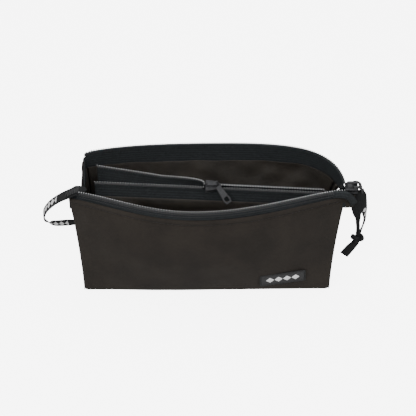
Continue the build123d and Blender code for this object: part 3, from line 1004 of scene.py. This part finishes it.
def stops():
    """The top stops: small folded metal clips round the first turns of each coil."""
    for side, name in SIDES:
        first = COIL_START - 1.4 if side < 0 else TAPE_START + 1.6
        path, across, normal = lip(side, 0.8, np.linspace(first - 0.9, first + 0.9, 8))
        turn = np.linspace(-2.3, 2.3, 22)
        section = path.mean(axis=0) + np.outer(np.cos(turn) * 1.9, across[0])
        section = section + np.outer(np.sin(turn) * 1.35, normal[0])
        along = path[-1] - path[0]
        grid = np.stack([section + along * t for t in np.linspace(-0.5, 0.5, 6)], 1)
        on_wall(cloth(f"{name}_stop_clip", grid, 0.5, ENAMEL), side,
                [f"{name}_top_stop"])


stops()

# -------------------------------------------------------------------------- the pocket

SLIDER_ROOM = 6.4       # the coils leave this much free to each side of the inner slider


def pocket_coil_frame(side, point, x):
    """The path of one of the pocket's coils, with the ways across it and out of it."""
    inner = point(x, 0 * x + POCKET_TAPE)
    flat = np.array([0.0, -side * 0.8, 0.6]) / math.hypot(0.8, 0.6)
    tall = np.array([0.0, 0.15, 1.0]) / math.hypot(0.15, 1.0)
    wide = opened(x)[:, None] if side > 0 else 0.35 * opened(x)[:, None]
    across = unit(flat * (1 - wide) + tall * wide)
    up = unit(np.cross(across, np.gradient(inner, axis=0)) * side)
    if up[:, 2].mean() < 0 and side < 0:
        up = -up
    return inner + across * 1.2 + up * 0.5, across, up


def pocket():
    """The divider pocket's two walls, each with its tape, its coil and their threads."""
    x_all = np.linspace(POCKET_LEFT, POCKET_RIGHT, 200)
    shapes = ((-1, "front", pocket_front, "pocket", pocket_front_share),
              (1, "back", pocket_back, "back_wall", pocket_back_share))
    for side, name, point, body, share in shapes:
        facing = (0, side, 0.1)

        def folds(x, t):
            held = ease((POCKET_RIGHT - np.abs(x)) / 14) * ease(t / 0.15) * ease((0.9 - t) / 0.12)
            return bumps(x, t * 80, 90 + side, 52.0, 3) * 1.1 * held

        def hang(piece, replaces=(), held=1.0):
            settle(piece, replaces=replaces)
            follow(piece, share(points_of(piece)[:, 0]) * held)

        heights = np.linspace(0, POCKET_WALL + 0.012, 60)
        grid, _ = surface(point, x_all, heights, facing, 0.7, folds)
        piece = cloth(f"pocket_{name}_cloth", grid, 0.4, LINING)
        hang(piece, [f"pocket_{name}_wall"],
             bottom_share(piece) if side > 0 else 1.0)
        heights = np.linspace(POCKET_WALL - 0.03, POCKET_TAPE, 20)
        grid, _ = surface(point, x_all, heights, facing, 0.3)
        hang(cloth(f"pocket_{name}_zip_band", grid, 0.5, TAPE),
             [f"pocket_{name}_tape"])

        x = np.linspace(POCKET_LEFT, POCKET_RIGHT, 640)
        ways = pocket_coil_frame(side, point, x)
        room = np.abs(x - INNER_SLIDER_X) < SLIDER_ROOM
        for part, keep in (("left", (x < INNER_SLIDER_X) & ~room),
                           ("right", (x > INNER_SLIDER_X) & ~room)):
            kept = [way[keep] for way in ways]
            # The pocket's coils get the nylon with painted highlights on their heads.
            hang(coil(f"pocket_{name}_coil_{part}", *kept, 1.25, 0.55, 0.32, NYLON_PAINTED_HIGHLIGHT),
                 [f"pocket_{name}_teeth"] if part == "left" else ())
            hang(tape_cords(f"pocket_{name}_coil_stitch_{part}", *kept, [(-0.7, 0.8)]))

        line, normal = surface(point, np.linspace(-97, 101, 220),
                               [POCKET_WALL - 0.006, POCKET_WALL], facing, 0.95)
        hang(stitch_row(f"pocket_{name}_stitch", line[:, 0], normal[:, 0], 0.2, 0.3, 2.2, 0.7))


def pocket_trim():
    """The binding along the pocket's bottom seam, and the stop at its zip's end."""
    steps, sides = 120, 16
    path = np.stack([[x, 3.6 + 0.2 * math.sin(x / 17), POCKET_LOW - 1.6]
                     for x in np.linspace(-103, 103, steps)])
    points, faces = tube_parts(path, 2.1, sides, 0.62, (0, 0, 1))
    uv = np.stack([points[:, 0], np.tile(np.arange(sides) * 0.8, steps)], -1)
    piece = new_mesh("pocket_binding", points, faces, uv, OUTER)
    settle(piece, "pocket", ["pocket_bottom_binding"])
    y, z = chain_line(POCKET_RIGHT)
    turn = np.linspace(0, 2 * math.pi, 25)
    section = np.stack([0 * turn + POCKET_RIGHT + 1.2, y + 2.0 + 2.7 * np.cos(turn),
                        z - 1.5 + 1.5 * np.sin(turn)], -1)
    grid = np.stack([section + np.array([t, 0, 0]) for t in np.linspace(-0.9, 0.9, 5)], 1)
    piece = cloth("pocket_stop_clip", grid, 0.5, ENAMEL)
    settle(piece, replaces=["pocket_zip_stop"])
    follow(piece, pocket_front_share(points_of(piece)[:, 0]))


pocket()
pocket_trim()

# --------------------------------------------------------------- ribbons, loop and pull


def ribbon_mesh(name, path, width, facing, thickness, material, columns, cup):
    """A flat ribbon along a path: its width and the way it faces vary along it."""
    tangent = unit(np.gradient(path, axis=0))
    side = unit(np.cross(tangent, facing))
    up = np.cross(side, tangent)
    share = np.linspace(-1, 1, columns)
    grid = path[:, None] + side[:, None] * (share[None, :, None] * width[:, None, None] / 2)
    grid = grid - up[:, None] * (cup * share**2)[None, :, None]
    uv = np.stack(np.broadcast_arrays(lengths(path)[:, None], share[None, :]), -1)
    piece = new_mesh(name, grid, grid_faces(*grid.shape[:2]), uv, material)
    return thicken(piece, thickness)


def keyed(values, count):
    """Numbers or vectors eased between evenly spaced keys."""
    values = np.asarray(values, float)
    if values.ndim == 1:
        values = values[:, None]
    at = np.linspace(0, len(values) - 1, count)
    i = np.minimum(at.astype(int), len(values) - 2)
    t = ease(at - i)[:, None]
    out = values[i] * (1 - t) + values[i + 1] * t
    return out if out.shape[1] > 1 else out[:, 0]


def side_loop():
    """The hanging loop of ribbon: tacked down on the corner and sewn into the seam."""
    path = smooth_path([
        (-103.6, 2.6, 92.2), (-107.0, 0.4, 94.0), (-111.0, -2.6, 95.2), (-117.2, -4.4, 93.2),
        (-126.0, -3.0, 87.4), (-133.6, -2.0, 80.9), (-139.6, -1.0, 73.6), (-143.2, 0.0, 65.4),
        (-143.0, 0.0, 59.6), (-139.4, -0.2, 56.0), (-134.0, -0.4, 55.0), (-127.0, -0.2, 55.2),
        (-120.0, 0.0, 55.6), (-113.0, 0.4, 55.2)], 280)
    facing = keyed([
        (0.2, -0.1, 1.0), (-0.1, -0.35, 1.0), (-0.5, -0.2, 0.9), (-0.6, -0.12, 0.8),
        (-0.85, -0.12, 0.5), (-1.0, -0.2, 0.0), (-0.75, -0.55, -0.35), (-0.1, -0.9, -0.36),
        (0.0, -0.94, -0.34), (0.0, -0.9, -0.44)], len(path))
    width = keyed([4.0, 9.6] + [10.0] * 6 + [9.6], len(path))
    piece = ribbon_mesh("side_ribbon_loop", path, width, facing, 0.9, LOOP_RIBBON, 13, 0.25)
    settle(piece, "case", ["side_loop"])
    zigzag = []
    for k in range(13):
        index = 34 + 3 * k
        aside = np.array([0, (3.9 if k % 2 else -3.9), 0])
        zigzag.append(path[index] + aside + unit(facing[index]) * 0.8)
    points, faces = tube_parts(smooth_path(zigzag, 150), 0.42, 6, 0.8, (0, 0, 1))
    piece = new_mesh("loop_bar_tack", points, faces, material=TACK_THREAD)
    settle(piece, "case")


side_loop()

FRONT_STRAND = [(131.4, -1.5, 91.4), (130.4, -2.6, 81.0), (131.0, -3.4, 68.0), (134.0, -3.0, 54.0),
                (135.5, -1.7, 40.0)]
BACK_STRAND = [(132.5, 1.5, 91.4), (134.2, 2.8, 80.0), (139.6, 3.6, 67.0), (141.6, 3.2, 54.0),
               (137.9, 1.7, 40.0)]
FRONT_TAIL = [(134.7, -1.6, 31.2), (130.0, -2.4, 25.0), (125.4, -3.2, 17.4)]
BACK_TAIL = [(136.3, 1.6, 31.2), (133.4, 2.2, 24.0), (129.6, 2.6, 15.2)]
KNOT = (136.0, 0.0, 35.6)


def cord_line(name, route):
    """The smooth line of a cord: its route's points control a NURBS spline."""
    curve = bpy.data.curves.new(name, "CURVE")
    curve.dimensions = "3D"
    curve.resolution_u = 10
    spline = curve.splines.new("NURBS")
    spline.points.add(len(route) - 1)
    for point, at in zip(spline.points, route):
        point.co = (*[c * MM for c in at], 1)
    spline.order_u = 3
    spline.use_endpoint_u = True
    holder = bpy.data.objects.new(name, curve)
    bpy.context.scene.collection.objects.link(holder)
    bpy.context.view_layer.update()
    mesh = bpy.data.meshes.new_from_object(holder)
    line = np.array([v.co[:] for v in mesh.vertices]) / MM
    bpy.data.objects.remove(holder)
    return resampled(line, 90)[0]


def ribbon_pull():
    """The pull: one ribbon doubled through the ring, its two halves knotted together."""
    halves = (
        ("front", FRONT_STRAND, FRONT_TAIL, PLAIN_RIBBON,
         [(-0.2, -1, 0), (0.0, -1, 0.1), (-0.5, -1, 0), (-1, -0.45, 0), (-1, -0.6, 0),
          (-0.4, -1, 0), (-0.3, -1, 0), (-0.2, -1, 0.2)]),
        ("back", BACK_STRAND, BACK_TAIL, PULL_RIBBON,
         [(0.2, -1, 0), (0.3, -1, 0.1), (0.7, -0.8, 0), (1, -0.55, 0), (0.9, -0.6, 0),
          (0.4, -1, 0), (0.3, -1, 0), (0.4, -1, 0.1)]),
    )
    knot = knot_piece()
    for index, (half, strand, tail, ribbon, facings) in enumerate(halves):
        name = f"pull_ribbon_{half}"
        route = strand + [(KNOT[0], 0.3 * (1 if index else -1), KNOT[2])] + tail
        line = cord_line(name, route)
        width = keyed([6.0, 10.5, 10.0, 7.4, 6.0, 4.4, 3.6, 6.4, 7.8, 8.0], len(line))
        facing = keyed(facings, len(line))
        piece = ribbon_mesh(name, line, width, facing, 0.75, ribbon, 9, 0.3)
        settle(piece, "ribbon_pull", [f"pull_strand_{half}", f"pull_tail_{half}"])


def knot_piece():
    """An overhand knot of the doubled ribbon, as a flattened band round itself."""
    steps, sides = 180, 10
    t = np.linspace(0, 2 * math.pi, steps + 1)
    x = np.sin(t) + 2 * np.sin(2 * t)
    y = np.cos(t) - 2 * np.cos(2 * t)
    z = -np.sin(3 * t)
    path = np.stack([KNOT[0] + 1.55 * x, KNOT[1] + 1.8 * z, KNOT[2] + 0.95 * y], -1)
    away = path - np.array(KNOT)
    points, _ = tube_parts(path[:-1], 2.5, sides, 0.75, away[:-1])
    faces = grid_faces(steps, sides, wrap=True)
    last = (steps - 1) * sides
    faces += [[last + k, k, (k + 1) % sides, last + (k + 1) % sides] for k in range(sides)]
    length = np.repeat(np.arange(steps) * 0.3, sides)
    around = np.tile(np.linspace(-1, 1, sides), steps)
    piece = new_mesh("ribbon_knot", points, faces, np.stack([length, around], -1), PLAIN_RIBBON)
    settle(piece, "ribbon_pull", ["pull_knot"])
    return piece


ribbon_pull()

# --------------------------------------------------------------------------- the patch

PATCH_X, PATCH_V, PATCH_WIDTH, PATCH_HEIGHT = 67.0, 0.205, 41.0, 14.0
RIM_RINGS = ((0.0, 1.2, -0.6), (0.0, 1.2, 0.55), (0.25, 1.1, 0.85), (0.9, 0.9, 0.85),
             (1.15, 0.8, 0.6), (1.25, 0.8, 0.2))       # inset, corner radius and lift
MOTIF_RINGS = ((1.0, 0.1), (1.0, 0.7), (0.93, 0.95), (0.5, 1.05), (0.02, 1.05))   # size, lift
MOTIF_PITCH = 7.6


def rounded_outline(width, height, radius, count=8):
    """Points round a rounded rectangle, anticlockwise."""
    points = []
    for cx, cy, start in ((1, 1, 0), (-1, 1, 90), (-1, -1, 180), (1, -1, 270)):
        for k in range(count):
            a = math.radians(start + 90 * k / (count - 1))
            points.append((cx * (width / 2 - radius) + radius * math.cos(a),
                           cy * (height / 2 - radius) + radius * math.sin(a)))
    return np.array(points)


def patch_frame():
    """A flat frame on the front panel: its middle, two directions and its normal."""
    grid, normal = surface(wall(-1), [PATCH_X, PATCH_X + 1], [PATCH_V, PATCH_V + 0.01],
                           (0, -1, 0), 2.0, panel_relief(-1))
    out = normal[0, 0]
    along = np.array([1.0, 0.0, 0.075])
    along = unit(along - out * (along @ out))
    up = np.cross(out, along)
    return grid[0, 0], along, up if up[2] > 0 else -up, out


def on_patch(flat, lift):
    """Points of the patch's own plane, lifted off it."""
    middle, along, up, out = patch_frame()
    return middle + flat[..., :1] * along + flat[..., 1:2] * up + lift * out


def patch():
    """The moulded patch: a rounded rim, a ribbed field and a row of raised lozenges."""
    grid = np.stack([on_patch(rounded_outline(PATCH_WIDTH - 2 * inset, PATCH_HEIGHT - 2 * inset,
                                              radius), lift)
                     for inset, radius, lift in RIM_RINGS])
    faces = grid_faces(*grid.shape[:2], wrap=True)
    on_wall(new_mesh("patch_rim", grid, faces, material=PATCH_RIM), -1,
            ["front_patch"])
    a, b = np.meshgrid(np.linspace(-1, 1, 60), np.linspace(-1, 1, 22), indexing="ij")
    flat = np.stack([a * (PATCH_WIDTH / 2 - 1.2), b * (PATCH_HEIGHT / 2 - 1.2)], -1)
    on_wall(cloth("patch_field", on_patch(flat, 0.2), 0.4, PATCH_FIELD), -1)
    corners = np.array([(3.5, 0.0), (0.0, 3.1), (-3.5, 0.0), (0.0, -3.1)])
    outline = np.array([corners[i] * (1 - t) + corners[(i + 1) % 4] * t
                        for i in range(4) for t in (0.04, 0.35, 0.65, 0.96)])
    parts = []
    for k in range(4):
        middle = np.array([MOTIF_PITCH * (k - 1.5), 0.0])
        rings = [on_patch(middle + outline * scale, lift) for scale, lift in MOTIF_RINGS]
        parts.append((np.vstack(rings), grid_faces(len(rings), len(outline), wrap=True)))
    on_wall(new_mesh("patch_motif", *merged(parts), material=PATCH_MOTIF), -1)


patch()

# ------------------------------------------------------------ pieces that keep their CAD shape


def paint(node, material):
    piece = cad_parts[node]
    piece.data.materials.clear()
    piece.data.materials.append(material)


def enamel_parts():
    """The sliders, bridges and pullers keep their CAD shape, with softened edges."""
    for node in ("main_slider", "main_slider_bridge", "main_puller", "inner_slider",
                 "inner_slider_bridge", "inner_puller"):
        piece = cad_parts[node]
        soften = piece.modifiers.new("soft_edges", "BEVEL")
        soften.width = 0.22 * MM
        soften.segments = 2
        soften.limit_method = "ANGLE"
        soften.angle_limit = math.radians(35)
        paint(node, ENAMEL)
    paint("base_board", BOARD)


enamel_parts()
